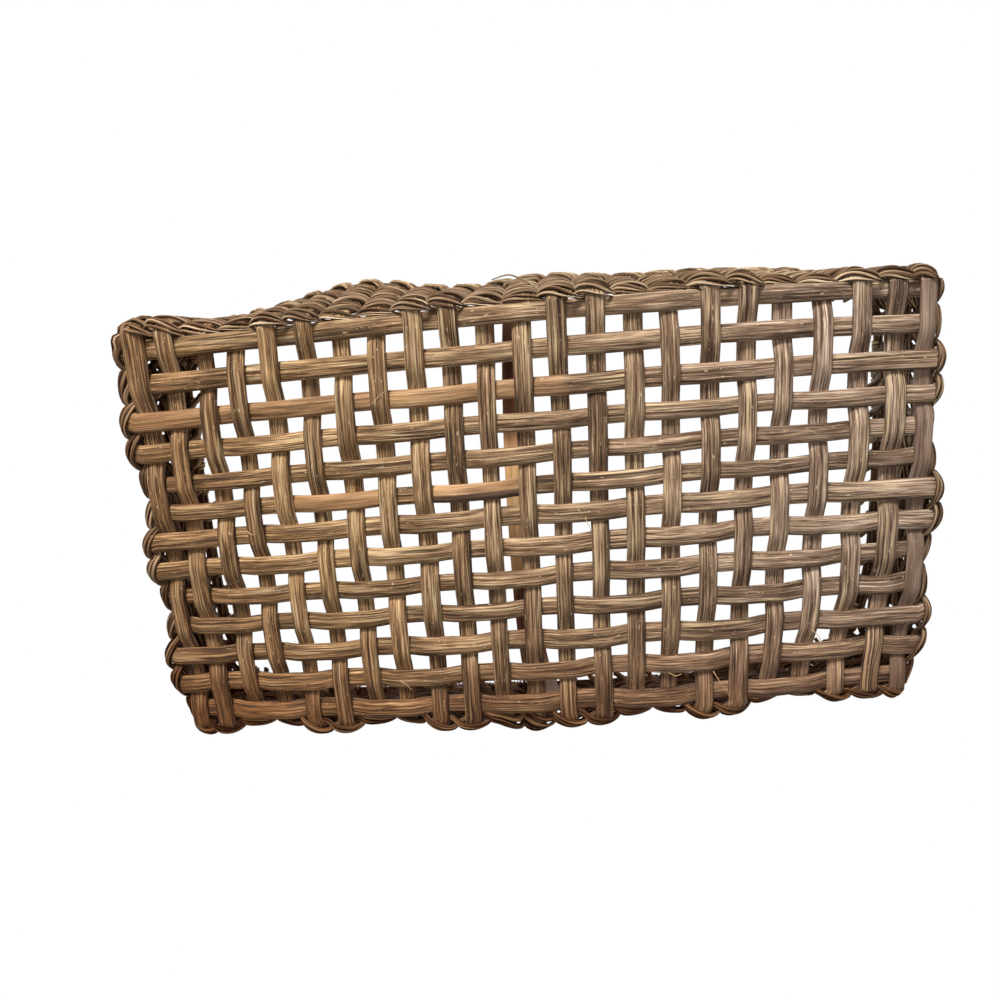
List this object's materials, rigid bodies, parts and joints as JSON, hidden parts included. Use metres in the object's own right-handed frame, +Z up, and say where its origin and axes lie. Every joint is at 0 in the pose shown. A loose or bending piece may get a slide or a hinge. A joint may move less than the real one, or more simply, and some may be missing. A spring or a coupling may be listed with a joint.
{
  "type": "flower gathering basket",
  "caption": "Shallow rectangular wicker basket with a twill base of flat reeds, twined walls, a rim border and a fixed bent-wood hoop handle, for gathering and carrying flowers.",
  "frame": {"origin": "middle of the basket seen from above, on the ground it stands on", "axes": "+Z up out of the basket, +X along its length, Y across it from long wall to long wall"},
  "size_m": [0.4442, 0.2772, 0.196],
  "materials": {
    "reed": "aged fibrous rattan, matt",
    "strand": "aged fine rattan strand, matt",
    "border": "aged fibrous rattan, matt",
    "bent_wood": "worn bare wood, matt",
    "lashing": "aged fine rattan strand, matt"
  },
  "bodies": {
    "root": {"cross_reed_01": "reed", "cross_reed_02": "reed", "cross_reed_03": "reed", "cross_reed_04": "reed", "cross_reed_05": "reed", "cross_reed_06": "reed", "cross_reed_07": "reed", "cross_reed_08": "reed", "cross_reed_09": "reed", "cross_reed_10": "reed", "cross_reed_11": "reed", "cross_reed_12": "reed", "cross_reed_13": "reed", "cross_reed_14": "reed", "cross_reed_15": "reed", "cross_reed_16": "reed", "cross_reed_17": "reed", "cross_reed_18": "reed", "cross_reed_19": "reed", "cross_reed_20": "reed", "cross_reed_21": "reed", "cross_reed_22": "reed", "cross_reed_23": "reed", "long_reed_01": "reed", "long_reed_02": "reed", "long_reed_03": "reed", "long_reed_04": "reed", "long_reed_05": "reed", "long_reed_06": "reed", "long_reed_07": "reed", "long_reed_08": "reed", "long_reed_09": "reed", "long_reed_10": "reed", "long_reed_11": "reed", "long_reed_12": "reed", "long_reed_13": "reed", "wall_weaver_01": "strand", "wall_weaver_02": "strand", "wall_weaver_03": "strand", "wall_weaver_04": "strand", "wall_weaver_05": "strand", "wall_weaver_06": "strand", "wall_weaver_07": "strand", "rim_border": "border", "handle_hoop": "bent_wood", "lashing_front_lower": "lashing", "lashing_front_upper": "lashing", "lashing_back_lower": "lashing", "lashing_back_upper": "lashing"}
  },
  "joints": []
}
